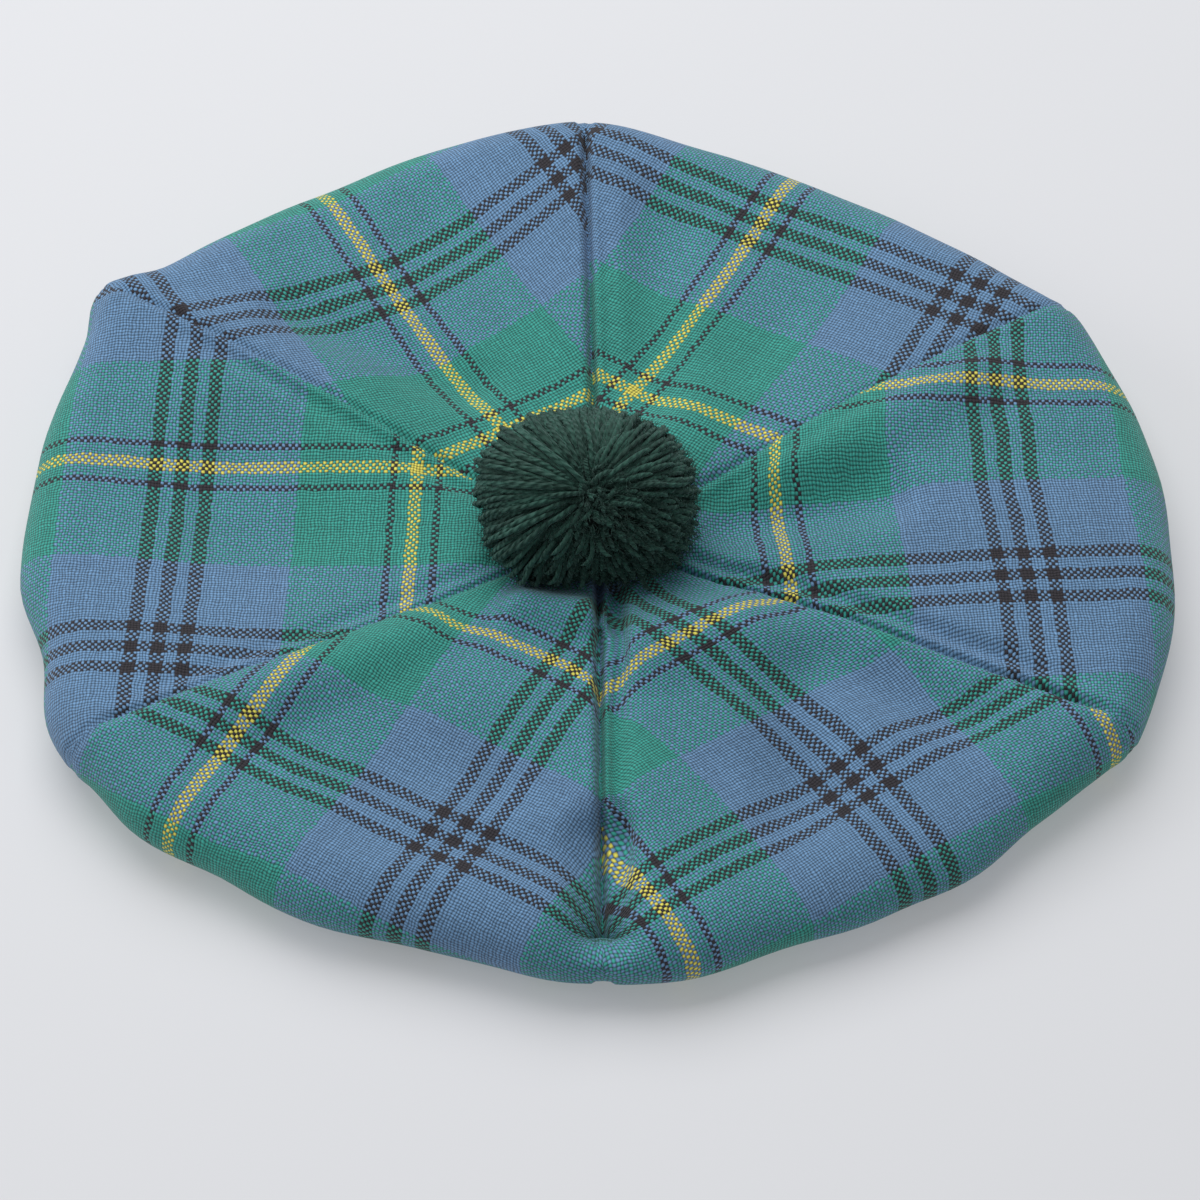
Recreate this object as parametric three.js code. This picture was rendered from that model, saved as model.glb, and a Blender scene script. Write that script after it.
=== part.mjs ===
// A tam o' shanter lying on a flat surface: six wedge gores of plain-woven tartan wool that
// run from the button over the rolled rim and in to the head opening, a folded headband
// turned up inside it, and a wool pompom on the button. Millimetres, +Z up.
import * as THREE from 'three';

// ---- driving dimensions ----
const WALL = 1.5; // cloth with its seam allowance
const SEAM_GAP = 0.3; // between neighbouring gores
const EDGE_GAP = 0.8; // between the gores' inner edge and the headband
const POMPOM_CLEARANCE = 0.9; // above the crown
const BAND_CLEARANCE = 2.2; // under the crown, above the headband
const TIP_RADIUS = 2.0; // where the six gore tips meet at the button
const CENTRE_HEIGHT = 20.0; // outside of the crown at the button
const UNDER_HEIGHT = 0.6; // outside of the crown's underside above the table
const SEAM_RIDGE = 1.7; // how sharply the cloth rises to a seam
const RIM_DEPTH = 13.0; // how far the rolled rim reaches in from its outermost line
const BAND = { rx: 92, ry: 88, lean: 11, height: 16.5, wall: 3.0 };
const POMPOM = { x: -2.2, y: 0.9, z: 33.5, rx: 26.4, ry: 21.0, rz: 19.6 };
const PLACE = { rowsTop: 13, rowsRim: 8, rowsUnder: 4, columns: 10 };

// One row for each seam, anticlockwise: its direction in plan, the rim's radius there, and
// the crown's height at a quarter, half and three quarters of the way out and at the rim.
const SEAMS = [
  { angle: -24.5, rim: 144.0, near: 18.5, mid: 23.0, far: 22.5, edge: 22.0 },
  { angle: 31.0, rim: 144.5, near: 20.0, mid: 26.0, far: 28.0, edge: 28.0 },
  { angle: 91.5, rim: 141.0, near: 17.5, mid: 23.0, far: 27.5, edge: 32.0 },
  { angle: 148.5, rim: 152.0, near: 18.5, mid: 24.5, far: 28.0, edge: 28.0 },
  { angle: 207.0, rim: 144.5, near: 19.0, mid: 20.0, far: 22.5, edge: 23.5 },
  { angle: 270.5, rim: 127.0, near: 22.5, mid: 24.0, far: 24.5, edge: 22.5 },
];

// One row for each gore, anticlockwise from the seam of the same number, with the same
// columns for its centreline, where the cloth sags between its seams.
const GORES = [
  { name: 'crown_gore_1', rim: 144.5, near: 19.5, mid: 23.0, far: 24.0, edge: 23.0 },
  { name: 'crown_gore_2', rim: 132.0, near: 23.0, mid: 23.0, far: 25.0, edge: 27.5 },
  { name: 'crown_gore_3', rim: 141.5, near: 18.5, mid: 18.5, far: 19.0, edge: 22.0 },
  { name: 'crown_gore_4', rim: 145.0, near: 18.5, mid: 16.8, far: 16.5, edge: 19.5 },
  { name: 'crown_gore_5', rim: 130.0, near: 21.0, mid: 23.0, far: 17.0, edge: 20.0 },
  { name: 'crown_gore_6', rim: 128.0, near: 21.5, mid: 22.0, far: 18.5, edge: 19.0 },
];

// Where the rim's outline stands out into a soft corner or falls in, in plan.
const OUTLINE = [
  { angle: 148, spread: 6, out: 3.0 },
  { angle: 193, spread: 10, out: -3.5 },
  { angle: 218, spread: 10, out: 3.5 },
  { angle: 252, spread: 20, out: -5.5 },
  { angle: 292, spread: 14, out: -3.0 },
  { angle: 313, spread: 10, out: 3.0 },
];

// Loose folds: each a soft ridge (height above 0) or trough along a line in plan.
const FOLDS = [
  { x0: -44, y0: -32, x1: -100, y1: -62, width: 13, height: 3.5 },
  { x0: 48, y0: 18, x1: 104, y1: 50, width: 13, height: 3.0 },
  { x0: 34, y0: 5, x1: 70, y1: 10, width: 15, height: -5.0 },
  { x0: 12, y0: -38, x1: 34, y1: -31, width: 18, height: 5.0 },
  { x0: 48, y0: -52, x1: 52, y1: -90, width: 18, height: -3.5 },
  { x0: 56, y0: -40, x1: 92, y1: -60, width: 13, height: -3.5 },
  { x0: -18, y0: -25, x1: -4, y1: -29, width: 10, height: 5.5 },
  { x0: 1, y0: -94, x1: 1, y1: -114, width: 13, height: -6.0 },
  { x0: -14, y0: -102, x1: -58, y1: -97, width: 15, height: -4.0 },
  { x0: -34, y0: 50, x1: -78, y1: 72, width: 14, height: -3.0 },
  { x0: 13, y0: 44, x1: 17, y1: 110, width: 15, height: -3.5 },
];

const TARTAN = 0x3f7f86;
const POMPOM_GREEN = 0x1c3a32;

const radians = THREE.MathUtils.degToRad;
const lerp = THREE.MathUtils.lerp;
const clamp = THREE.MathUtils.clamp;

function smooth(t) {
  return THREE.MathUtils.smoothstep(t, 0, 1);
}

// ---- the crown's outer surface ----

// The gore that a direction falls in, and how far across it: -1 and 1 at its seams.
function across(gore, angle) {
  const start = SEAMS[gore].angle;
  const end = gore === 5 ? SEAMS[0].angle + 360 : SEAMS[gore + 1].angle;
  return (2 * (angle - start)) / (end - start) - 1;
}

function angleAt(gore, v) {
  const start = SEAMS[gore].angle;
  const end = gore === 5 ? SEAMS[0].angle + 360 : SEAMS[gore + 1].angle;
  return lerp(start, end, (v + 1) / 2);
}

// A value that each seam and each gore's centreline state, eased between them: corners at
// the seams, so the outline is a rounded polygon.
function aroundRim(gore, v, column) {
  const seam = v < 0 ? SEAMS[gore] : SEAMS[(gore + 1) % 6];
  return lerp(GORES[gore][column], seam[column], Math.abs(v) ** 2.2);
}

function rimRadius(gore, v) {
  let radius = aroundRim(gore, v, 'rim');
  for (const corner of OUTLINE) {
    const away = Math.abs(((angleAt(gore, v) - corner.angle + 540) % 360) - 180) / corner.spread;
    if (away < 1) {
      radius += corner.out * Math.cos((away * Math.PI) / 2) ** 2;
    }
  }
  return radius;
}

function foldHeight(x, y) {
  let height = 0;
  for (const fold of FOLDS) {
    const dx = fold.x1 - fold.x0;
    const dy = fold.y1 - fold.y0;
    const along = clamp(((x - fold.x0) * dx + (y - fold.y0) * dy) / (dx * dx + dy * dy), 0, 1);
    const away = Math.hypot(x - fold.x0 - along * dx, y - fold.y0 - along * dy) / fold.width;
    if (away < 1) {
      height += fold.height * Math.cos((away * Math.PI) / 2) ** 2;
    }
  }
  return height;
}

// The crown's height along one seam or centreline, eased through its four stated heights.
function heightAlong(line, u) {
  const stated = [CENTRE_HEIGHT, line.near, line.mid, line.far, line.edge];
  const step = Math.min(Math.floor(clamp(u, 0, 1) * 4), 3);
  const t = clamp(u, 0, 1) * 4 - step;
  const before = stated[Math.max(step - 1, 0)];
  const after = stated[Math.min(step + 2, 4)];
  const [from, to] = [stated[step], stated[step + 1]];
  return 0.5 * (2 * from + (to - before) * t
    + (2 * before - 5 * from + 4 * to - after) * t * t
    + (3 * from - before - 3 * to + after) * t * t * t);
}

function topHeight(gore, v, r) {
  const angle = radians(angleAt(gore, v));
  const reach = rimRadius(gore, v) - RIM_DEPTH;
  const u = r / reach;
  const seam = v < 0 ? SEAMS[gore] : SEAMS[(gore + 1) % 6];
  const z = lerp(heightAlong(GORES[gore], u), heightAlong(seam, u), Math.abs(v) ** SEAM_RIDGE);
  const flat = smooth((1 - u) * 5);
  return z + foldHeight(r * Math.cos(angle), r * Math.sin(angle)) * flat;
}

// A point on the outside of the crown. Rows run from the button out over the top, round
// the rolled rim and back in along the underside.
function crownPoint(gore, v, row) {
  const { rowsTop, rowsRim, rowsUnder } = PLACE;
  const angle = radians(angleAt(gore, v));
  const inner = rimRadius(gore, v) - RIM_DEPTH;
  let r;
  let z;
  if (row <= rowsTop) {
    r = lerp(TIP_RADIUS, inner, row / rowsTop);
    z = topHeight(gore, v, r);
  } else if (row <= rowsTop + rowsRim) {
    const turn = radians(90 - (180 * (row - rowsTop)) / rowsRim);
    const half = (topHeight(gore, v, inner) - UNDER_HEIGHT) / 2;
    r = inner + RIM_DEPTH * Math.cos(turn);
    z = UNDER_HEIGHT + half * (1 + Math.sin(turn));
  } else {
    const t = (row - rowsTop - rowsRim) / rowsUnder;
    r = lerp(inner, bandRadius(angle, 0) + EDGE_GAP, t);
    z = UNDER_HEIGHT;
  }
  return new THREE.Vector3(r * Math.cos(angle), r * Math.sin(angle), z);
}

// ---- solids ----

// Joins an outer and an inner grid of points into one closed wall.
function closedWall(outer, inner, wraps) {
  const rows = outer.length;
  const columns = outer[0].length;
  const positions = [];
  const indices = [];
  for (const grid of [outer, inner]) {
    for (const line of grid) {
      for (const p of line) {
        positions.push(p.x, p.y, p.z);
      }
    }
  }
  const at = (side, i, j) => side * rows * columns + i * columns + (j % columns);
  const quad = (a, b, c, d) => indices.push(a, b, c, a, c, d);
  const lastColumn = wraps ? columns : columns - 1;
  for (let i = 0; i < rows - 1; i += 1) {
    for (let j = 0; j < lastColumn; j += 1) {
      quad(at(0, i, j), at(0, i + 1, j), at(0, i + 1, j + 1), at(0, i, j + 1));
      quad(at(1, i, j), at(1, i, j + 1), at(1, i + 1, j + 1), at(1, i + 1, j));
    }
  }
  for (let j = 0; j < lastColumn; j += 1) {
    quad(at(0, 0, j), at(0, 0, j + 1), at(1, 0, j + 1), at(1, 0, j));
    quad(at(0, rows - 1, j), at(1, rows - 1, j), at(1, rows - 1, j + 1), at(0, rows - 1, j + 1));
  }
  if (!wraps) {
    for (let i = 0; i < rows - 1; i += 1) {
      quad(at(0, i, 0), at(1, i, 0), at(1, i + 1, 0), at(0, i + 1, 0));
      const last = columns - 1;
      quad(at(0, i, last), at(0, i + 1, last), at(1, i + 1, last), at(1, i, last));
    }
  }
  const geometry = new THREE.BufferGeometry();
  geometry.setAttribute('position', new THREE.Float32BufferAttribute(positions, 3));
  geometry.setIndex(indices);
  geometry.computeVertexNormals();
  return geometry;
}

// Cloth wall of one gore. Near a seam the wall is offset within the seam's own upright
// plane, so two neighbouring gores never cross.
function goreGeometry(gore) {
  const { rowsTop, rowsRim, rowsUnder, columns } = PLACE;
  const rows = rowsTop + rowsRim + rowsUnder;
  const middle = radians(angleAt(gore, 0));
  const sideways = new THREE.Vector3(-Math.sin(middle), Math.cos(middle), 0);
  const outer = [];
  const inner = [];
  for (let row = 0; row <= rows; row += 1) {
    const outerLine = [];
    const innerLine = [];
    for (let column = 0; column <= columns; column += 1) {
      const v = Math.sin(((column / columns) * 2 - 1) * (Math.PI / 2));
      const point = crownPoint(gore, v, row);
      const ahead = crownPoint(gore, v, Math.min(row + 0.2, rows));
      const behind = crownPoint(gore, v, Math.max(row - 0.2, 0));
      const left = crownPoint(gore, Math.min(v + 0.02, 1), row);
      const right = crownPoint(gore, Math.max(v - 0.02, -1), row);
      const angle = radians(angleAt(gore, v));
      const round = new THREE.Vector3(-Math.sin(angle), Math.cos(angle), 0);
      const meridian = ahead.sub(behind).normalize();
      const crosswise = left.sub(right).normalize().lerp(round, Math.abs(v) ** 4).normalize();
      const normal = meridian.clone().cross(crosswise).normalize();
      const edge = -Math.sign(v) * (Math.abs(v) > 0.999 ? SEAM_GAP / 2 : 0);
      const shifted = point.clone().addScaledVector(sideways, edge);
      outerLine.push(shifted);
      innerLine.push(shifted.clone().addScaledVector(normal, -WALL));
    }
    outer.push(outerLine);
    inner.push(innerLine);
  }
  return closedWall(outer, inner, false);
}

function bandRadius(angle, lean) {
  const rx = BAND.rx - lean;
  const ry = BAND.ry - lean;
  return (rx * ry) / Math.hypot(ry * Math.cos(angle), rx * Math.sin(angle));
}

function goreAt(degreesRound) {
  return SEAMS.findIndex((seam, i) => {
    const end = i === 5 ? SEAMS[0].angle + 360 : SEAMS[i + 1].angle;
    return degreesRound >= seam.angle && degreesRound < end;
  });
}

// The lowest that the crown's inside comes down over the band in one direction.
function crownOverBand(degreesRound) {
  const gore = goreAt(degreesRound);
  const v = across(gore, degreesRound);
  let lowest = BAND.height;
  for (let r = BAND.ry - BAND.lean - 8; r <= BAND.rx; r += 2) {
    lowest = Math.min(lowest, topHeight(gore, v, r) - WALL - BAND_CLEARANCE);
  }
  return lowest;
}

// The headband: cloth folded double, turned up inside the opening and leaning inwards.
function bandGeometry() {
  const steps = 72;
  const outer = [];
  const inner = [];
  for (let k = 0; k <= 3; k += 1) {
    const outerLine = [];
    const innerLine = [];
    for (let i = 0; i < steps; i += 1) {
      const degreesRound = SEAMS[0].angle + (i * 360) / steps;
      const angle = radians(degreesRound);
      const height = Math.min(BAND.height, crownOverBand(degreesRound));
      const outside = bandRadius(angle, (BAND.lean * k) / 3);
      const inside = outside - BAND.wall;
      const level = (height * k) / 3;
      outerLine.push(new THREE.Vector3(outside * Math.cos(angle), outside * Math.sin(angle), level));
      innerLine.push(new THREE.Vector3(inside * Math.cos(angle), inside * Math.sin(angle), (height * k) / 3));
    }
    outer.unshift(outerLine);
    inner.unshift(innerLine);
  }
  return closedWall(outer, inner, true);
}

function crownHeightAt(x, y) {
  let degreesRound = THREE.MathUtils.radToDeg(Math.atan2(y, x));
  if (degreesRound < SEAMS[0].angle) {
    degreesRound += 360;
  }
  const gore = goreAt(degreesRound);
  return topHeight(gore, across(gore, degreesRound), Math.hypot(x, y));
}

// The pompom: a trimmed ball of yarn, wider than tall, flattened where it meets the crown.
function pompomGeometry() {
  const geometry = new THREE.SphereGeometry(1, 28, 18);
  const place = geometry.attributes.position;
  for (let i = 0; i < place.count; i += 1) {
    const p = new THREE.Vector3().fromBufferAttribute(place, i);
    const swell = 1 + 0.02 * Math.sin(3 * p.x + 1) * Math.cos(4 * p.z) + 0.015 * Math.sin(5 * p.y);
    const x = p.x * POMPOM.rx * swell;
    const y = -p.z * POMPOM.ry * swell;
    const lowest = crownHeightAt(POMPOM.x + x, POMPOM.y + y) + POMPOM_CLEARANCE - POMPOM.z;
    place.setXYZ(i, x, y, Math.max(p.y * POMPOM.rz * swell, lowest));
  }
  geometry.computeVertexNormals();
  return geometry;
}

// ---- assembly ----

const tam = new THREE.Group();

for (let gore = 0; gore < GORES.length; gore += 1) {
  const cloth = new THREE.MeshStandardMaterial({ color: TARTAN, roughness: 0.9, metalness: 0 });
  const mesh = new THREE.Mesh(goreGeometry(gore), cloth);
  mesh.name = GORES[gore].name;
  tam.add(mesh);
}

const bandCloth = new THREE.MeshStandardMaterial({ color: TARTAN, roughness: 0.9, metalness: 0 });
const headband = new THREE.Mesh(bandGeometry(), bandCloth);
headband.name = 'headband';
tam.add(headband);

const yarn = new THREE.MeshStandardMaterial({ color: POMPOM_GREEN, roughness: 1, metalness: 0 });
const pompom = new THREE.Mesh(pompomGeometry(), yarn);
pompom.name = 'pompom';
pompom.position.set(POMPOM.x, POMPOM.y, POMPOM.z);
tam.add(pompom);

// The origin is on the table under the middle of the hat.
const box = new THREE.Box3().setFromObject(tam, true);
tam.position.set(-(box.min.x + box.max.x) / 2, -(box.min.y + box.max.y) / 2, -box.min.z);

export default tam;
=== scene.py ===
import math
import random

import bmesh
import bpy
from mathutils import Matrix, Vector, noise


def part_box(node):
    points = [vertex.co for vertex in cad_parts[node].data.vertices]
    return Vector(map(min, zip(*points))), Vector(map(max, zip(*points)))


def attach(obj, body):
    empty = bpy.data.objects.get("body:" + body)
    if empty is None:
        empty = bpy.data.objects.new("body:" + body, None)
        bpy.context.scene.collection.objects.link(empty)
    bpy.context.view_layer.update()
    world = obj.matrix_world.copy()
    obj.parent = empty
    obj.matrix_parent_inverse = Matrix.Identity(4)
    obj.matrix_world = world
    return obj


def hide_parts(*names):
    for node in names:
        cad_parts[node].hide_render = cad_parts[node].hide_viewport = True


mm = 0.001

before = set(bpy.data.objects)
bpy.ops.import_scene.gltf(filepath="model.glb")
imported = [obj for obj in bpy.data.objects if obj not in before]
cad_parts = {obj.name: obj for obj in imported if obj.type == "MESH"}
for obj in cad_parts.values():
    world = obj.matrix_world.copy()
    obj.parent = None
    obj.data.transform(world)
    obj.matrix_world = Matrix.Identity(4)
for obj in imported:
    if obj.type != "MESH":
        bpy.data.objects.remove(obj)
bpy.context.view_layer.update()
scene = bpy.context.scene
print("frame loaded")


def lerp(a, b, t):
    return a + (b - a) * t


def clamp(value, low=0.0, high=1.0):
    return max(low, min(high, value))


def smooth(t):
    t = clamp(t)
    return t * t * (3 - 2 * t)


def linearColour(hexCode, alpha=1.0):
    # sRGB hex to the linear values that the shader sockets take
    parts = [int(hexCode[i:i + 2], 16) / 255 for i in (1, 3, 5)]
    return [p / 12.92 if p <= 0.04045 else ((p + 0.055) / 1.055) ** 2.4 for p in parts] + [alpha]


def addNode(tree, kind, settings=None, *inputs, **named):
    # settings are the node's own properties; inputs are sockets to link or plain values, in the
    # node's order or by the socket's name
    node = tree.nodes.new(kind)
    for name, value in (settings or {}).items():
        setattr(node, name, value)
    for socket, value in [*enumerate(inputs), *named.items()]:
        if isinstance(value, bpy.types.NodeSocket):
            tree.links.new(value, node.inputs[socket])
        elif value is not None:
            node.inputs[socket].default_value = value
    return node


def newMaterial(name):
    material = bpy.data.materials.new(name)
    material.use_nodes = True
    tree = material.node_tree
    return material, tree, tree.nodes["Principled BSDF"]


def randomVector():
    return Vector((random.gauss(0, 1), random.gauss(0, 1), random.gauss(0, 1)))


def newPiece(name, bm):
    mesh = bpy.data.meshes.new(name)
    bm.to_mesh(mesh)
    bm.free()
    piece = bpy.data.objects.new(name, mesh)
    scene.collection.objects.link(piece)
    mesh.polygons.foreach_set("use_smooth", [True] * len(mesh.polygons))
    return piece


# the crown's shape, in millimetres about the button
crown = {
    "centreHeight": 20.0,
    "underHeight": 0.6,
    "rimDepth": 13.0,
    "tipRadius": 2.0,
    "seamRidge": 1.7,
    "wall": 1.1,
    "columns": 56,
    "rows": 124,
    "topRows": 0.52,  # share of the rows on the top, then up to the rim's underside
    "rimRows": 0.76,
    "grooveWidth": 1.2,
    "creaseWidth": 8.5,
    "pucker": 0.16,
    "puckerLength": 8.5,
    "crumple": 0.85,
    "grooveAtRim": 0.6,
    "notchWidth": 6.5,
}
# each seam's direction in plan, the rim's radius there, the heights on the way out, and how
# deep the cloth falls beside it, to the anticlockwise side (+) or the clockwise one (-), is
# drawn in by the stitches and is pinched where the seam goes over the rim
seams = [
    {"angle": -24.5, "rim": 144.0, "near": 18.5, "mid": 23.0, "far": 22.5, "edge": 22.0,
     "crease": 2.6, "groove": 3.0, "notch": 0.0},
    {"angle": 31.0, "rim": 144.5, "near": 20.0, "mid": 26.0, "far": 28.0, "edge": 28.0,
     "crease": -0.6, "groove": 0.9, "notch": 0.0},
    {"angle": 91.5, "rim": 141.0, "near": 17.5, "mid": 23.0, "far": 27.5, "edge": 32.0,
     "crease": -1.2, "groove": 4.5, "notch": 1.5},
    {"angle": 148.5, "rim": 152.0, "near": 18.5, "mid": 24.5, "far": 28.0, "edge": 28.0,
     "crease": 1.6, "groove": 1.5, "notch": 0.0},
    {"angle": 207.0, "rim": 144.5, "near": 19.0, "mid": 20.0, "far": 22.5, "edge": 23.5,
     "crease": -1.2, "groove": 1.5, "notch": 0.0},
    {"angle": 270.5, "rim": 127.0, "near": 22.5, "mid": 24.0, "far": 24.5, "edge": 22.5,
     "crease": 4.0, "groove": 6.0, "notch": 14.0},
]
# each gore's centreline, and where its tartan sits: the crossing yellow line and black line
# out from the button, how far they bow inwards, and the lengthwise yellow line's place to the
# anticlockwise side, close to the button and further out
gores = [
    {"rim": 144.5, "near": 19.5, "mid": 23.0, "far": 24.0, "edge": 23.0,
     "yellow": 46.5, "black": 105.5, "bow": 0.0, "inside": 37.6, "outside": 37.6},
    {"rim": 132.0, "near": 23.0, "mid": 23.0, "far": 25.0, "edge": 27.5,
     "yellow": 46.0, "black": 108.0, "bow": 0.0, "inside": 17.0, "outside": 10.0},
    {"rim": 141.5, "near": 18.5, "mid": 18.5, "far": 19.0, "edge": 22.0,
     "yellow": 41.8, "black": 106.5, "bow": 7.0, "inside": 3.0, "outside": 5.8},
    {"rim": 145.0, "near": 18.5, "mid": 16.8, "far": 16.5, "edge": 19.5,
     "yellow": 46.6, "black": 106.2, "bow": 0.0, "inside": -20.0, "outside": -18.5},
    {"rim": 130.0, "near": 21.0, "mid": 23.0, "far": 17.0, "edge": 20.0,
     "yellow": 45.0, "black": 100.8, "bow": 0.0, "inside": -41.3, "outside": -41.3},
    {"rim": 128.0, "near": 21.5, "mid": 22.0, "far": 18.5, "edge": 19.0,
     "yellow": 44.0, "black": 98.8, "bow": 0.0, "inside": -65.0, "outside": -49.5},
]
outline = [
    {"angle": 148, "spread": 6, "out": 3.0},
    {"angle": 193, "spread": 10, "out": -3.5},
    {"angle": 218, "spread": 10, "out": 3.5},
    {"angle": 252, "spread": 20, "out": -5.5},
    {"angle": 292, "spread": 14, "out": -3.0},
    {"angle": 313, "spread": 10, "out": 3.0},
]
# loose folds: a soft ridge or trough along a line in plan
folds = [
    {"start": (-44, -32), "end": (-100, -62), "width": 13, "height": 3.5},
    {"start": (48, 18), "end": (104, 50), "width": 13, "height": 3.0},
    {"start": (34, 5), "end": (70, 10), "width": 15, "height": -5.0},
    {"start": (12, -38), "end": (34, -31), "width": 18, "height": 5.0},
    {"start": (48, -52), "end": (52, -90), "width": 18, "height": -3.5},
    {"start": (56, -40), "end": (92, -60), "width": 13, "height": -3.5},
    {"start": (-18, -25), "end": (-4, -29), "width": 10, "height": 5.5},
    {"start": (1, -94), "end": (1, -114), "width": 13, "height": -6.0},
    {"start": (-14, -102), "end": (-58, -97), "width": 15, "height": -4.0},
    {"start": (-34, 50), "end": (-78, 72), "width": 14, "height": -3.0},
    {"start": (13, 44), "end": (17, 110), "width": 15, "height": -3.5},
]

bandLow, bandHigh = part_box("headband")
hub = (bandLow + bandHigh) / 2  # the button stands over the middle of the headband
hub.z = 0.0
band = {
    "rx": (bandHigh.x - bandLow.x) / 2 / mm,
    "ry": (bandHigh.y - bandLow.y) / 2 / mm,
    "lean": 11.0,
    "height": 16.5,
    "wall": 2.6,
    "around": 160,
    "sectionSteps": 40,
    "girth": 2 * math.pi * 90,
    "clothWidth": 40.0,  # once round the folded section
    "clothStart": -8.0,
}


def angleAt(gore, v):
    start = seams[gore]["angle"]
    end = seams[gore + 1]["angle"] if gore < 5 else seams[0]["angle"] + 360
    return lerp(start, end, (v + 1) / 2)


def rimRadius(gore, v):
    seam = seams[gore] if v < 0 else seams[(gore + 1) % 6]
    radius = lerp(gores[gore]["rim"], seam["rim"], abs(v) ** 2.2)
    for corner in outline:
        away = abs((angleAt(gore, v) - corner["angle"] + 540) % 360 - 180) / corner["spread"]
        if away < 1:
            radius += corner["out"] * math.cos(away * math.pi / 2) ** 2
    return radius


def foldHeight(x, y):
    height = 0.0
    for fold in folds:
        (x0, y0), (x1, y1) = fold["start"], fold["end"]
        dx, dy = x1 - x0, y1 - y0
        along = clamp(((x - x0) * dx + (y - y0) * dy) / (dx * dx + dy * dy))
        away = math.hypot(x - x0 - along * dx, y - y0 - along * dy) / fold["width"]
        if away < 1:
            height += fold["height"] * math.cos(away * math.pi / 2) ** 2
    return height


def heightAlong(line, u):
    # eased through the four stated heights
    stated = [crown["centreHeight"], line["near"], line["mid"], line["far"], line["edge"]]
    u = clamp(u)
    step = min(int(u * 4), 3)
    t = u * 4 - step
    before, start, end, after = (stated[max(step - 1, 0)], stated[step],
                                 stated[step + 1], stated[min(step + 2, 4)])
    return 0.5 * (2 * start + (end - before) * t
                  + (2 * before - 5 * start + 4 * end - after) * t * t
                  + (3 * start - before - 3 * end + after) * t ** 3)


def topHeight(gore, v, r):
    angle = math.radians(angleAt(gore, v))
    u = r / (rimRadius(gore, v) - crown["rimDepth"])
    seam = seams[gore] if v < 0 else seams[(gore + 1) % 6]
    z = lerp(heightAlong(gores[gore], u), heightAlong(seam, u), abs(v) ** crown["seamRidge"])
    return z + foldHeight(r * math.cos(angle), r * math.sin(angle)) * smooth((1 - u) * 5)


def bandRadius(angle, lean):
    rx, ry = band["rx"] - lean, band["ry"] - lean
    return rx * ry / math.hypot(ry * math.cos(angle), rx * math.sin(angle))


def crownPoint(gore, v, along):
    # along runs 0 to 1 over the top, 1 to 2 round the rim and 2 to 3 in underneath
    angle = math.radians(angleAt(gore, v))
    inner = rimRadius(gore, v) - crown["rimDepth"]
    if along <= 1:
        r = lerp(crown["tipRadius"], inner, along)
        z = topHeight(gore, v, r)
    elif along <= 2:
        turn = math.pi / 2 - math.pi * (along - 1)
        half = (topHeight(gore, v, inner) - crown["underHeight"]) / 2
        r = inner + crown["rimDepth"] * math.cos(turn)
        z = crown["underHeight"] + half * (1 + math.sin(turn))
    else:
        r = lerp(inner, bandRadius(angle, 0) - 1.0, along - 2)
        z = crown["underHeight"]
    return Vector((r * math.cos(angle), r * math.sin(angle), z))


def crownHeightAt(x, y):
    degreesRound = math.degrees(math.atan2(y, x))
    if degreesRound < seams[0]["angle"]:
        degreesRound += 360
    ends = [seam["angle"] for seam in seams[1:]] + [seams[0]["angle"] + 360]
    gore = next(i for i, end in enumerate(ends) if degreesRound < end)
    start = seams[gore]["angle"]
    v = 2 * (degreesRound - start) / (ends[gore] - start) - 1
    return topHeight(gore, v, math.hypot(x, y))


def rowPlace(t):
    # rows are shared out so that the rim's tight curve gets enough of them
    top, rim = crown["topRows"], crown["rimRows"]
    if t < top:
        return t / top
    if t < rim:
        return 1 + (t - top) / (rim - top)
    return 2 + (t - rim) / (1 - rim)


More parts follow.
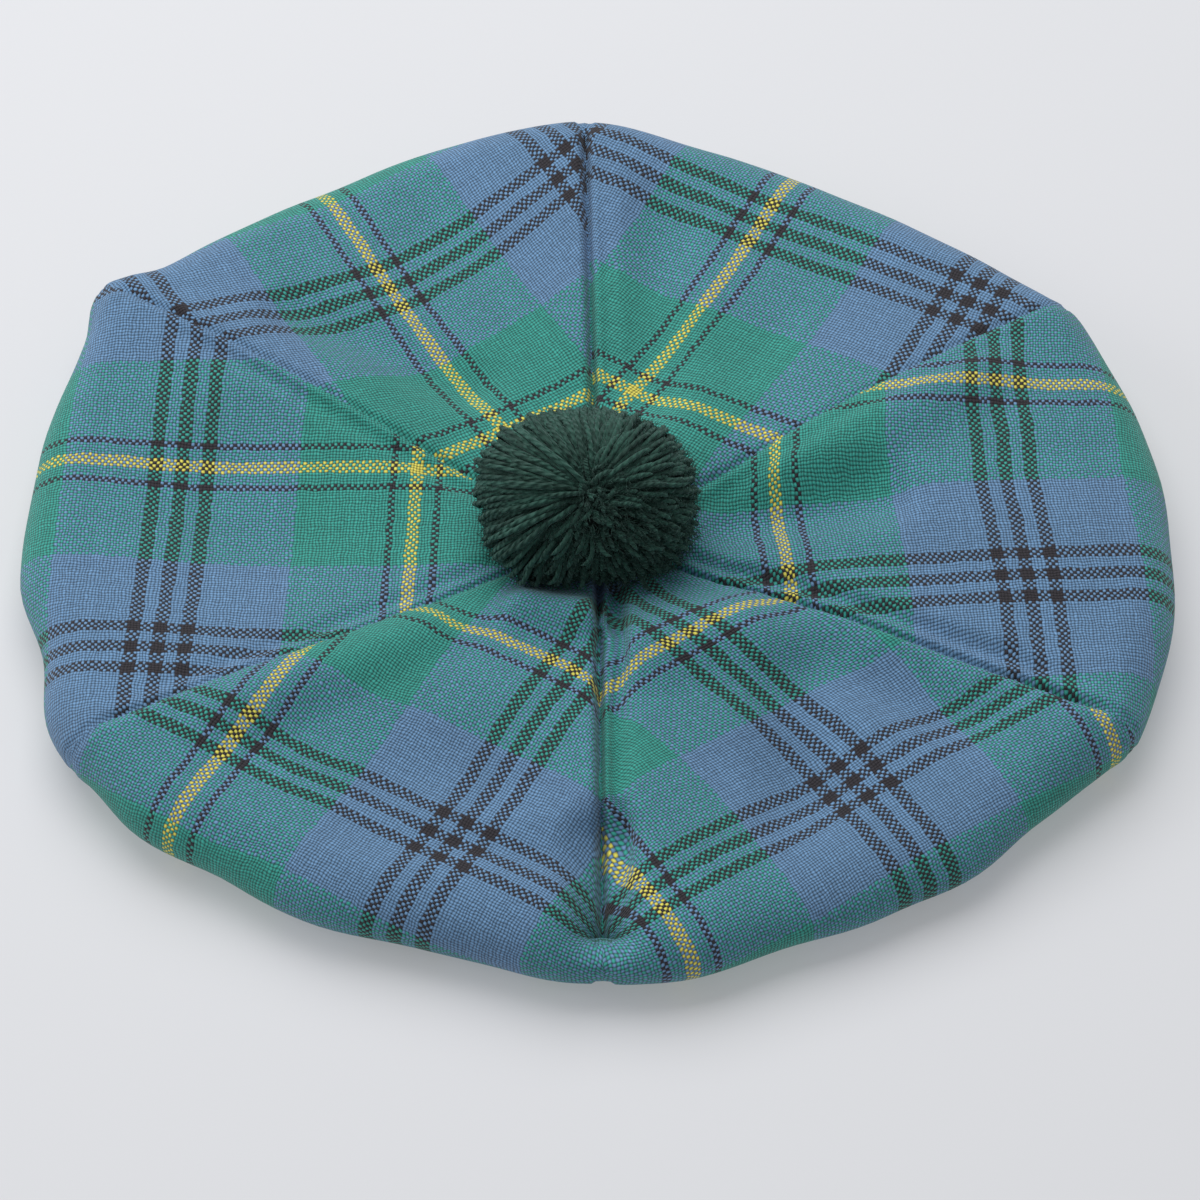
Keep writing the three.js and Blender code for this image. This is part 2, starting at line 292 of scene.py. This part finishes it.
def clothSurface(gore, v, along, length):
    # the cloth's outside and its normal there, with what the sewing and wear do to it
    base = crownPoint(gore, v, along)
    ahead = crownPoint(gore, v, min(along + 0.01, 3)) - crownPoint(gore, v, max(along - 0.01, 0))
    left, right = min(v + 0.01, 1), max(v - 0.01, -1)
    across = crownPoint(gore, left, along) - crownPoint(gore, right, along)
    normal = ahead.cross(across).normalized()
    # both sides of a seam are drawn in the same way, so they stay together
    radial = Vector((base.x, base.y, 0)).normalized()
    drawIn = (Vector((0, 0, ahead.dot(radial))) - radial * ahead.z).normalized()
    toSeam = math.radians(abs(angleAt(gore, math.copysign(1, v)) - angleAt(gore, v)))
    fromSeam = math.hypot(base.x, base.y) * math.sin(toSeam)
    # the two edges turn in to the stitches, and the cloth falls and puckers beside them
    side = gore if v < 0 else (gore + 1) % 6
    groove = seams[side]["groove"] * math.exp(-(fromSeam / crown["grooveWidth"]) ** 2)
    groove = lerp(groove, min(groove, crown["grooveAtRim"]), smooth((along - 0.95) / 0.25))
    fall = max(-seams[side]["crease"] * math.copysign(1, v), 0.0)
    fall *= smooth(along / 0.12) * smooth((1.02 - along) / 0.25)
    fall *= math.sin(clamp(fromSeam / crown["creaseWidth"]) * math.pi) ** 2
    pinch = smooth((along - 0.75) / 0.3) * smooth((1.45 - along) / 0.3)
    groove += seams[side]["notch"] * pinch * math.exp(-(fromSeam / crown["notchWidth"]) ** 2)
    wander = 5 * noise.noise((length * 0.05, side * 3.1, 0))
    ripple = math.sin(length / crown["puckerLength"] * 2 * math.pi + wander)
    pucker = crown["pucker"] * ripple * math.exp(-((fromSeam - 3) / 5) ** 2)
    crumple = noise.noise(base * 0.045 + Vector((gore * 7.3, 0, 0)))
    crumple *= crown["crumple"] * smooth(fromSeam / 8)
    if along > 2:  # it lies on the table here
        return base + normal * (max(pucker, -0.1) + crumple) - drawIn * groove * 0.5, normal
    return base + normal * (pucker + crumple - fall) - drawIn * groove, normal


def gridPlace(vert, columns, rows):
    # which column and row of a new grid a vertex is in
    return round((vert.co.x + 1) / 2 * columns), round((vert.co.y + 1) / 2 * rows)


def buildGore(gore):
    columns, rows = crown["columns"], crown["rows"]
    middle = math.radians(angleAt(gore, 0))
    sett = gores[gore]
    stretch = tartan["halfSett"] / (sett["black"] - sett["yellow"])
    places = {}
    cloth = {}
    for i in range(columns + 1):
        v = math.sin((i / columns * 2 - 1) * math.pi / 2)
        turn = math.radians(angleAt(gore, v)) - middle
        length = crown["tipRadius"]
        last = crownPoint(gore, v, 0)
        for j in range(rows + 1):
            along = rowPlace(j / rows)
            base = crownPoint(gore, v, along)
            length += (base - last).length
            last = base
            places[i, j] = clothSurface(gore, v, along, length)[0] * mm + hub
            out = length * math.cos(turn)
            drift = lerp(sett["inside"], sett["outside"], smooth((length - 20) / 75))
            bow = sett["bow"] * (1 - v * v) * smooth((out - 50) / 45)
            lengthwise = math.hypot(base.x, base.y) * math.sin(turn) - drift
            cloth[i, j] = (lengthwise * mm, (out + bow - sett["yellow"]) * stretch * mm)
    bm = bmesh.new()
    bmesh.ops.create_grid(bm, x_segments=columns, y_segments=rows, size=1.0)
    clothMap = bm.loops.layers.uv.new("cloth")
    index = {vert: gridPlace(vert, columns, rows) for vert in bm.verts}
    for face in bm.faces:
        for loop in face.loops:
            loop[clothMap].uv = cloth[index[loop.vert]]
    for vert, place in index.items():
        vert.co = places[place]
    bmesh.ops.recalc_face_normals(bm, faces=bm.faces)
    top = max(bm.faces, key=lambda face: face.calc_center_median().z)
    if top.normal.z < 0:
        bmesh.ops.reverse_faces(bm, faces=bm.faces)
    piece = newPiece(f"gore{gore + 1}", bm)
    wall = piece.modifiers.new("wall", "SOLIDIFY")
    wall.thickness = crown["wall"] * mm
    wall.offset = -1
    wall.use_even_offset = False
    return piece


# worsted tartan, plain woven: matt, with the threads standing a little proud
tartan = {
    "halfSett": 60.0,  # millimetres from a yellow line to the next black one
    "threads": 72,  # in that length, about twelve to the centimetre
    "blue": "#6288ad",
    "green": "#319387",
    "black": "#231f27",
    "yellow": "#d6cd58",
    # threads from the middle of the yellow line to the middle of the black one
    "sett": [("yellow", 0), ("green", 2), ("black", 6), ("green", 8), ("blue", 36),
             ("black", 62), ("blue", 66), ("black", 70)],
    "threadRise": 0.0003,
}


def tartanMaterial(name):
    material, tree, shader = newMaterial(name)
    uv = addNode(tree, "ShaderNodeUVMap", {"uv_map": "cloth"})
    # no thread runs quite straight
    drift = addNode(tree, "ShaderNodeTexNoise", {"noise_dimensions": "2D"}, uv.outputs[0], Scale=260)
    offset = addNode(tree, "ShaderNodeVectorMath", {"operation": "MULTIPLY_ADD"},
                     drift.outputs["Color"], (0.0011, 0.0011, 0.0), (-0.00055, -0.00055, 0.0))
    wavy = addNode(tree, "ShaderNodeVectorMath", {"operation": "ADD"}, uv.outputs[0], offset.outputs[0])
    split = addNode(tree, "ShaderNodeSeparateXYZ", None, wavy.outputs[0])
    count = tartan["threads"]
    pitch = tartan["halfSett"] / count * mm
    threads = []
    for axis in (0, 1):
        run = addNode(tree, "ShaderNodeMath", {"operation": "DIVIDE"}, split.outputs[axis], pitch)
        number = addNode(tree, "ShaderNodeMath", {"operation": "FLOOR"}, run.outputs[0])
        part = addNode(tree, "ShaderNodeMath", {"operation": "FRACT"}, run.outputs[0])
        centre = addNode(tree, "ShaderNodeMath", {"operation": "ADD"}, number.outputs[0], 0.5)
        mirrored = addNode(tree, "ShaderNodeMath", {"operation": "PINGPONG"}, centre.outputs[0], count)
        share = addNode(tree, "ShaderNodeMath", {"operation": "DIVIDE"}, mirrored.outputs[0], count)
        ramp = addNode(tree, "ShaderNodeValToRGB", None, share.outputs[0])
        ramp.color_ramp.interpolation = "CONSTANT"
        stops = ramp.color_ramp.elements
        while len(stops) < len(tartan["sett"]):
            stops.new(1.0)
        for stop, (dye, start) in zip(stops, tartan["sett"]):
            stop.position = start / count
            stop.color = linearColour(tartan[dye])
        # no two spun threads take the dye quite alike
        spun = addNode(tree, "ShaderNodeTexWhiteNoise", {"noise_dimensions": "1D"}, W=number.outputs[0])
        tone = addNode(tree, "ShaderNodeMapRange", None, spun.outputs["Value"], 0.0, 1.0, 0.90, 1.08)
        dyed = addNode(tree, "ShaderNodeVectorMath", {"operation": "SCALE"},
                       ramp.outputs["Color"], Scale=tone.outputs[0])
        threads.append({"run": run, "number": number, "part": part, "colour": dyed})
    heights = []
    for own, other, sign in ((threads[0], threads[1], 1.0), (threads[1], threads[0], -1.0)):
        # a thread rises over its neighbour and dips under the next
        phase = addNode(tree, "ShaderNodeMath", {"operation": "ADD"},
                        other["run"].outputs[0], own["number"].outputs[0])
        wave = addNode(tree, "ShaderNodeMath", {"operation": "MULTIPLY_ADD"},
                       phase.outputs[0], math.pi, -math.pi / 2)
        swing = addNode(tree, "ShaderNodeMath", {"operation": "COSINE"}, wave.outputs[0])
        rise = addNode(tree, "ShaderNodeMath", {"operation": "MULTIPLY"}, swing.outputs[0], 0.5 * sign)
        offCentre = addNode(tree, "ShaderNodeMath", {"operation": "MULTIPLY_ADD"},
                            own["part"].outputs[0], 2.0, -1.0)
        square = addNode(tree, "ShaderNodeMath", {"operation": "MULTIPLY"},
                         offCentre.outputs[0], offCentre.outputs[0])
        heights.append(addNode(tree, "ShaderNodeMath", {"operation": "MULTIPLY_ADD"},
                               square.outputs[0], -0.55, rise.outputs[0]))
    warp, weft = heights[0].outputs[0], heights[1].outputs[0]
    warpOnTop = addNode(tree, "ShaderNodeMath", {"operation": "GREATER_THAN"}, warp, weft)
    weave = addNode(tree, "ShaderNodeMath", {"operation": "MAXIMUM"}, warp, weft)
    picked = addNode(tree, "ShaderNodeMix", {"data_type": "RGBA"})
    tree.links.new(warpOnTop.outputs[0], picked.inputs["Factor"])
    tree.links.new(threads[1]["colour"].outputs[0], picked.inputs["A"])
    tree.links.new(threads[0]["colour"].outputs[0], picked.inputs["B"])
    # painted shade in the little pits between threads and a painted highlight on the threads' crowns
    paintedThreadShading = addNode(tree, "ShaderNodeMapRange", None, weave.outputs[0], -0.2, 0.5, 0.36, 1.42)
    place = addNode(tree, "ShaderNodeTexCoord")
    fuzz = addNode(tree, "ShaderNodeTexNoise", None, place.outputs["Object"], Scale=900, Detail=3)
    fuzzTone = addNode(tree, "ShaderNodeMapRange", None, fuzz.outputs[0], 0.3, 0.7, 0.86, 1.12)
    wear = addNode(tree, "ShaderNodeTexNoise", None, place.outputs["Object"], Scale=45)
    wearTone = addNode(tree, "ShaderNodeMapRange", None, wear.outputs[0], 0.3, 0.7, 0.96, 1.04)
    shade = addNode(tree, "ShaderNodeMath", {"operation": "MULTIPLY"},
                    paintedThreadShading.outputs[0], fuzzTone.outputs[0])
    shadeAll = addNode(tree, "ShaderNodeMath", {"operation": "MULTIPLY"},
                       shade.outputs[0], wearTone.outputs[0])
    colour = addNode(tree, "ShaderNodeVectorMath", {"operation": "SCALE"},
                     picked.outputs["Result"], Scale=shadeAll.outputs[0])
    tree.links.new(colour.outputs[0], shader.inputs["Base Color"])
    relief = addNode(tree, "ShaderNodeMath", {"operation": "MULTIPLY_ADD"},
                     fuzz.outputs[0], 0.35, weave.outputs[0])
    bump = addNode(tree, "ShaderNodeBump", None,
                   Strength=0.8, Distance=tartan["threadRise"], Height=relief.outputs[0])
    tree.links.new(bump.outputs[0], shader.inputs["Normal"])
    shader.inputs["Roughness"].default_value = 0.78
    shader.inputs["IOR"].default_value = 1.54  # wool
    shader.inputs["Specular IOR Level"].default_value = 0.35
    shader.inputs["Sheen Weight"].default_value = 0.16
    shader.inputs["Sheen Roughness"].default_value = 0.5
    return material


crownCloth = tartanMaterial("tartanWorsted")
for gore in range(6):
    piece = buildGore(gore)
    piece.data.materials.append(crownCloth)
    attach(piece, "root")
    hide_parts(f"crown_gore_{gore + 1}")
print("gores built")


# seam allowances, pressed open inside the crown
allowance = {"reach": 6.5, "thickness": 0.5, "rows": 70, "start": 0.06, "length": 1.6, "play": 0.15}


def buildAllowance(seam):
    bm = bmesh.new()
    halfWays = (-1.0, -0.7, -0.35, -0.1, 0.1, 0.35, 0.7, 1.0)
    bmesh.ops.create_grid(bm, x_segments=len(halfWays) - 1, y_segments=allowance["rows"], size=1.0)
    clothMap = bm.loops.layers.uv.new("cloth")
    where = {}
    for vert in bm.verts:
        step = round((vert.co.x + 1) / 2 * (len(halfWays) - 1))
        along = allowance["start"] + (vert.co.y + 1) / 2 * allowance["length"]
        where[vert] = (halfWays[step], along)
    for face in bm.faces:
        for loop in face.loops:
            across, along = where[loop.vert]
            loop[clothMap].uv = (across * allowance["reach"] * mm + 0.012, along * 0.12 + 0.02)
    for vert, (across, along) in where.items():
        # the cloth of the gore on that side lies against it
        gore = seam if across > 0 else (seam + 5) % 6
        span = math.radians(abs(angleAt(gore, 1) - angleAt(gore, -1)))
        r = max(crownPoint(gore, 0, along).to_2d().length, 8.0)
        reach = min(allowance["reach"], r * span * 0.4) * abs(across)
        v = -1 + 2 * reach / (r * span) if across > 0 else 1 - 2 * reach / (r * span)
        outside, normal = clothSurface(gore, v, along, r)
        below = crown["wall"] + allowance["play"] + allowance["thickness"] * (1 - abs(across)) ** 2
        vert.co = (outside - normal * below) * mm + hub
    bmesh.ops.recalc_face_normals(bm, faces=bm.faces)
    piece = newPiece(f"seam_allowance{seam + 1}", bm)
    wall = piece.modifiers.new("wall", "SOLIDIFY")
    wall.thickness = allowance["thickness"] * mm
    wall.offset = 0
    return piece


for seam in range(6):
    piece = buildAllowance(seam)
    piece.data.materials.append(crownCloth)
    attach(piece, "root")
print("seam allowances built")


# headband: the same cloth folded double and turned up inside

def bandHeight(angle):
    # it stops under the crown wherever the crown comes down on it
    lowest = band["height"]
    r = band["ry"] - band["lean"] - 8
    while r <= band["rx"]:
        lowest = min(lowest, crownHeightAt(r * math.cos(angle), r * math.sin(angle)) - 3.7)
        r += 3
    return lowest


def bandSection(angle, t):
    # t runs once round the folded section: up the outside, over, down the inside, round the fold
    height = bandHeight(angle) - 0.3
    half = band["wall"] / 2
    if t < 0.4:
        side, level = 1.0, lerp(half, height - half, t / 0.4)
    elif t < 0.5:
        turn = (t - 0.4) / 0.1 * math.pi
        side, level = math.cos(turn), height - half + half * math.sin(turn)
    elif t < 0.9:
        side, level = -1.0, lerp(height - half, half, (t - 0.5) / 0.4)
    else:
        turn = (t - 0.9) / 0.1 * math.pi
        side, level = -math.cos(turn), half - half * math.sin(turn)
    lean = band["lean"] * level / band["height"]
    r = bandRadius(angle, lean) - half + side * half
    # the ripple comes round to where it began, so the band's ends meet
    ripple = noise.noise((math.cos(angle) * 6, math.sin(angle) * 6, level * 0.12))
    ripple *= 0.25 * smooth((level - 2) / 6)
    return Vector(((r + ripple) * math.cos(angle), (r + ripple) * math.sin(angle), level)) * mm + hub


bm = bmesh.new()
bmesh.ops.create_grid(bm, x_segments=band["around"], y_segments=band["sectionSteps"], size=1.0)
clothMap = bm.loops.layers.uv.new("cloth")
for face in bm.faces:
    for loop in face.loops:
        u = (loop.vert.co.x + 1) / 2
        t = (loop.vert.co.y + 1) / 2
        loop[clothMap].uv = (u * band["girth"] * mm, (t * band["clothWidth"] + band["clothStart"]) * mm)
for vert in bm.verts:
    vert.co = bandSection((vert.co.x + 1) * math.pi, (vert.co.y + 1) / 2)
bmesh.ops.remove_doubles(bm, verts=bm.verts, dist=0.00001)
bmesh.ops.recalc_face_normals(bm, faces=bm.faces)
headband = newPiece("headband_cloth", bm)
headband.data.materials.append(tartanMaterial("tartanBand"))
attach(headband, "root")
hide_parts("headband")
print("headband built")


# pompom: cut ends of two-ply wool yarn tied at the button
pompom = {
    "centre": Vector((-2.2, 0.9, 33.5)),
    "size": Vector((26.0, 20.6, 19.2)),
    "pole": Vector((0.02, -0.6, 0.8)).normalized(),  # where the yarn parts
    "strands": 2700,
    "points": 10,
    "yarnRadius": 0.64,
    "fibres": 8500,
    "fibreRadius": 0.09,
    "core": 0.84,  # of the ball's reach, filled solid behind the strands
    "knot": Vector((8.5, 8.5, 2.6)),
    "knotHeight": 17.3,
}
random.seed(41)


def pompomReach(direction):
    # how far the trimmed ball reaches that way, a little lumpy, flattened on the crown
    size = pompom["size"]
    power = 2 + 1.3 * smooth((0.3 - direction.z) / 0.6)
    reach = 1 / sum(abs(direction[k] / size[k]) ** power for k in range(3)) ** (1 / power)
    return reach * (1 + 0.05 * noise.noise(direction * 2.3) + 0.03 * noise.noise(direction * 6))


def aboveCrown(point, clearance):
    lowest = crownHeightAt(point.x, point.y) + clearance
    if point.z < lowest:
        point.z = lowest
    return point


def layAt(direction):
    # combed flat at the back and to the left, standing up at the front and to the right
    pole = pompom["pole"]
    flat = (direction - pole * direction.dot(pole)).normalized()
    return clamp(0.55 + 0.5 * flat.dot(Vector((-0.5, 0.67, 0.55))), 0.1, 1.0)


def strandPath(direction, reach):
    pole = pompom["pole"]
    tilt = pole.angle(direction)
    axis = pole.cross(direction)
    axis = axis.normalized() if axis.length > 0.001 else Vector((1, 0, 0))
    lay = layAt(direction)
    back = min(tilt, lerp(0.2, 1.7, lay)) * random.uniform(0.85, 1.05)
    sway = randomVector() * 0.12
    path = []
    for k in range(pompom["points"]):
        t = k / (pompom["points"] - 1)
        turned = Matrix.Rotation(-back * (1 - t) ** lerp(1.3, 1.0, lay), 3, axis) @ direction
        turned = (turned + sway * math.sin(t * 2.2)).normalized()
        rise = 1 - (1 - t) ** lerp(1.3, 4.5, lay)
        point = turned * reach * lerp(lerp(0.3, 0.62, lay), 1.0, rise) + pompom["centre"]
        path.append(aboveCrown(point, 1.1))
    return path


def addStrand(bm, cloth, number, path, radius, sides):
    # a tube along the path, drawn in to a point at both ends
    last = len(path) - 1
    made = bmesh.ops.create_grid(bm, x_segments=sides, y_segments=last, size=1.0)["verts"]
    frames = []
    normal = None
    for k, point in enumerate(path):
        heading = (path[min(k + 1, last)] - path[max(k - 1, 0)]).normalized()
        normal = heading.orthogonal() if normal is None else normal - heading * normal.dot(heading)
        normal.normalize()
        width = radius * (0.0 if k in (0, last) else 0.78 if k == last - 1 else 1.0)
        frames.append((point, normal.copy(), heading.cross(normal), width))
    where = {vert: gridPlace(vert, sides, last) for vert in made}
    for face in {face for vert in made for face in vert.link_faces}:
        for loop in face.loops:
            side, k = where[loop.vert]
            loop[cloth].uv = (number + (side + 0.01) / (sides + 0.02), k)
    for vert, (side, k) in where.items():
        point, across, up, width = frames[k]
        turn = 2 * math.pi * side / sides
        vert.co = (point + (across * math.cos(turn) + up * math.sin(turn)) * width) * mm + hub


def strandPiece(name, paths, radius, sides):
    whole = bmesh.new()
    whole.loops.layers.uv.new("yarn")
    for first in range(0, len(paths), 60):  # a few at a time, which is far quicker
        bm = bmesh.new()
        yarnMap = bm.loops.layers.uv.new("yarn")
        for number, path in enumerate(paths[first:first + 60], first):
            addStrand(bm, yarnMap, number, path, radius, sides)
        bmesh.ops.remove_doubles(bm, verts=bm.verts, dist=0.0000005)
        bmesh.ops.recalc_face_normals(bm, faces=bm.faces)
        bunch = bpy.data.meshes.new("bunch")
        bm.to_mesh(bunch)
        bm.free()
        whole.from_mesh(bunch)
        bpy.data.meshes.remove(bunch)
    return newPiece(name, whole)


goldenTurn = math.pi * (3 - math.sqrt(5))
paths = []
for k in range(pompom["strands"]):
    level = 1 - 2 * (k + 0.5) / pompom["strands"]
    ring = math.sqrt(1 - level * level)
    direction = Vector((ring * math.cos(k * goldenTurn), ring * math.sin(k * goldenTurn), level))
    direction += randomVector() * 0.035
    direction.normalize()
    # where the yarn lies flat most of it runs on to the ball's edge before it is cut
    flatness = layAt(direction) * smooth((1.5 - pompom["pole"].angle(direction)) / 0.7)
    if direction.z < -0.72 or random.random() < 0.85 * flatness:
        continue
    reach = pompomReach(direction) * random.gauss(0.985, 0.024)
    paths.append(strandPath(direction, reach))
yarn = strandPiece("pompomYarn", paths, pompom["yarnRadius"], 5)
print("yarn strands", len(paths), "faces", len(yarn.data.polygons))

fibrePaths = []
for k in range(pompom["fibres"]):
    direction = randomVector().normalized()
    if direction.z < -0.5:
        continue
    reach = pompomReach(direction)
    start = direction * reach * random.uniform(0.92, 1.0)
    drift = randomVector().normalized()
    lengthOut = random.uniform(1.5, 4.0)
    heading = (direction * 0.7 + drift * 0.9).normalized()
    curl = direction.cross(drift) * random.uniform(-0.8, 0.8)
    root = start + pompom["centre"]
    fibrePaths.append([aboveCrown(root + (heading * s + curl * s * s) * lengthOut, 0.6)
                       for s in (0, 0.4, 0.75, 1)])
fibres = strandPiece("pompomFibres", fibrePaths, pompom["fibreRadius"], 3)

bm = bmesh.new()
bmesh.ops.create_uvsphere(bm, u_segments=40, v_segments=24, radius=1.0)
for vert in bm.verts:
    point = vert.co * pompomReach(vert.co.normalized()) * pompom["core"] + pompom["centre"]
    vert.co = aboveCrown(point, 0.8) * mm + hub
core = newPiece("pompomCore", bm)

# the yarn that holds it comes through the gores' tips and is knotted inside
bm = bmesh.new()
bmesh.ops.create_uvsphere(bm, u_segments=28, v_segments=14, radius=1.0)
for vert in bm.verts:
    lump = 1 + 0.12 * noise.noise(vert.co * 2.1)
    place = vert.co * pompom["knot"] + Vector((0, 0, pompom["knotHeight"]))
    vert.co = place * lump * mm + hub
knot = newPiece("pompomKnot", bm)


# woollen yarn, spun in two plies: soft and matt, with a grey-green bloom where light grazes it
def yarnMaterial(name, dark, light, twisted):
    material, tree, shader = newMaterial(name)
    place = addNode(tree, "ShaderNodeTexCoord")
    mottle = addNode(tree, "ShaderNodeTexNoise", None, place.outputs["Object"], Scale=700, Detail=4)
    ramp = addNode(tree, "ShaderNodeValToRGB", None, mottle.outputs[0])
    ramp.color_ramp.elements[0].position = 0.3
    ramp.color_ramp.elements[0].color = linearColour(dark)
    ramp.color_ramp.elements[1].position = 0.72
    ramp.color_ramp.elements[1].color = linearColour(light)
    colour, relief = ramp, mottle
    if twisted:
        # two plies wind round each other, and each length of yarn took the dye its own way
        strand = addNode(tree, "ShaderNodeUVMap", {"uv_map": "yarn"})
        split = addNode(tree, "ShaderNodeSeparateXYZ", None, strand.outputs[0])
        number = addNode(tree, "ShaderNodeMath", {"operation": "FLOOR"}, split.outputs[0])
        own = addNode(tree, "ShaderNodeTexWhiteNoise", {"noise_dimensions": "1D"}, W=number.outputs[0])
        tone = addNode(tree, "ShaderNodeMapRange", None, own.outputs["Value"], 0.0, 1.0, 0.65, 1.3)
        windings = addNode(tree, "ShaderNodeMath", {"operation": "MULTIPLY"}, split.outputs[1], 1.1)
        turns = addNode(tree, "ShaderNodeMath", {"operation": "MULTIPLY_ADD"},
                        split.outputs[0], 2.0, windings.outputs[0])
        angle = addNode(tree, "ShaderNodeMath", {"operation": "MULTIPLY"}, turns.outputs[0], 2 * math.pi)
        ply = addNode(tree, "ShaderNodeMath", {"operation": "SINE"}, angle.outputs[0])
        # the grooves between the plies are painted darker: painted shade
        groove = addNode(tree, "ShaderNodeMapRange", None, ply.outputs[0], -1.0, 0.2, 0.84, 1.0)
        shade = addNode(tree, "ShaderNodeMath", {"operation": "MULTIPLY"},
                        groove.outputs[0], tone.outputs[0])
        # the cut ends are painted paler: a painted highlight on the tips of the strands
        paintedTipLight = addNode(tree, "ShaderNodeMapRange", None, split.outputs[1], 6.5, 9.0, 1.0, 1.22)
        toned = addNode(tree, "ShaderNodeMath", {"operation": "MULTIPLY"},
                        shade.outputs[0], paintedTipLight.outputs[0])
        colour = addNode(tree, "ShaderNodeVectorMath", {"operation": "SCALE"},
                         ramp.outputs[0], Scale=toned.outputs[0])
        relief = addNode(tree, "ShaderNodeMath", {"operation": "MULTIPLY_ADD"},
                         mottle.outputs[0], 1.2, ply.outputs[0])
    tree.links.new(colour.outputs[0], shader.inputs["Base Color"])
    bump = addNode(tree, "ShaderNodeBump", None, Strength=0.9, Distance=0.0002, Height=relief.outputs[0])
    tree.links.new(bump.outputs[0], shader.inputs["Normal"])
    shader.inputs["Roughness"].default_value = 0.85
    shader.inputs["IOR"].default_value = 1.54
    shader.inputs["Specular IOR Level"].default_value = 0.3
    shader.inputs["Sheen Weight"].default_value = 0.42
    shader.inputs["Sheen Roughness"].default_value = 0.45
    shader.inputs["Sheen Tint"].default_value = linearColour("#8fb0aa")
    return material


yarnWool = yarnMaterial("bottleGreenYarn", "#183a31", "#2f564b", True)
fibreWool = yarnMaterial("bottleGreenFibre", "#132e26", "#264a40", False)
# the core is painted near black: painted shade where the inner yarn, the same green as the rest, lies in
# shadow
paintedShadeCoreWool = yarnMaterial("paintedShadeCore", "#071410", "#0d211b", False)  # near black between strands
for piece, material in ((yarn, yarnWool), (fibres, fibreWool), (core, paintedShadeCoreWool), (knot, fibreWool)):
    piece.data.materials.append(material)
    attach(piece, "root")
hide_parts("pompom")
print("pompom built")


# matt pale table top: even, with no gloss, and lit a little from below
table = {"size": 4.0, "colour": "#bbbcbf", "glow": "#f3f4f7", "glowStrength": 0.26}
bm = bmesh.new()
bmesh.ops.create_grid(bm, x_segments=1, y_segments=1, size=table["size"])
floor = newPiece("floor", bm)
paper, paperTree, paperShader = newMaterial("paleTable")
paperShader.inputs["Base Color"].default_value = linearColour(table["colour"])
paperShader.inputs["Roughness"].default_value = 0.6
paperShader.inputs["Specular IOR Level"].default_value = 0.2
paperShader.inputs["Emission Color"].default_value = linearColour(table["glow"])
paperShader.inputs["Emission Strength"].default_value = table["glowStrength"]
floor.data.materials.append(paper)

studio = {"colour": "#f6f7fa", "strength": 0.34}
world = bpy.data.worlds.new("studio")
world.use_nodes = True
background = world.node_tree.nodes["Background"]
background.inputs["Color"].default_value = linearColour(studio["colour"])
background.inputs["Strength"].default_value = studio["strength"]
scene.world = world

lamps = [
    {"name": "overhead", "place": (-0.2, 0.7, 1.3), "size": 1.5, "watts": 20},
    {"name": "left", "place": (-1.3, 0.1, 0.7), "size": 0.7, "watts": 5},
]
for lamp in lamps:
    light = bpy.data.lights.new(lamp["name"], "AREA")
    light.shape = "SQUARE"
    light.size = lamp["size"]
    light.energy = lamp["watts"]
    holder = bpy.data.objects.new(lamp["name"], light)
    holder.location = lamp["place"]
    holder.rotation_euler = (-holder.location).to_track_quat("-Z", "Y").to_euler()
    scene.collection.objects.link(holder)

# the camera stands over the button's front and looks a little below it, so the button sits
# above the middle of the picture; angles in degrees, distances in metres, the lens in millimetres
view = {"elevation": 51.0, "distance": 1.1, "height": 0.020, "lens": 132.0, "lower": 0.88541,
        "aside": 0.03907}
elevation = math.radians(view["elevation"])
lower, aside = math.radians(view["lower"]), math.radians(view["aside"])
target = Vector((hub.x, hub.y, view["height"]))
eye = target + Vector((0, -math.cos(elevation), math.sin(elevation))) * view["distance"]
lens = bpy.data.cameras.new("camera")
lens.sensor_width = 36
lens.lens = view["lens"]
camera = bpy.data.objects.new("camera", lens)
camera.location = eye
camera.rotation_euler = (math.pi / 2 - elevation - lower, 0, -aside)
scene.collection.objects.link(camera)
scene.camera = camera
scene.view_settings.view_transform = "Standard"
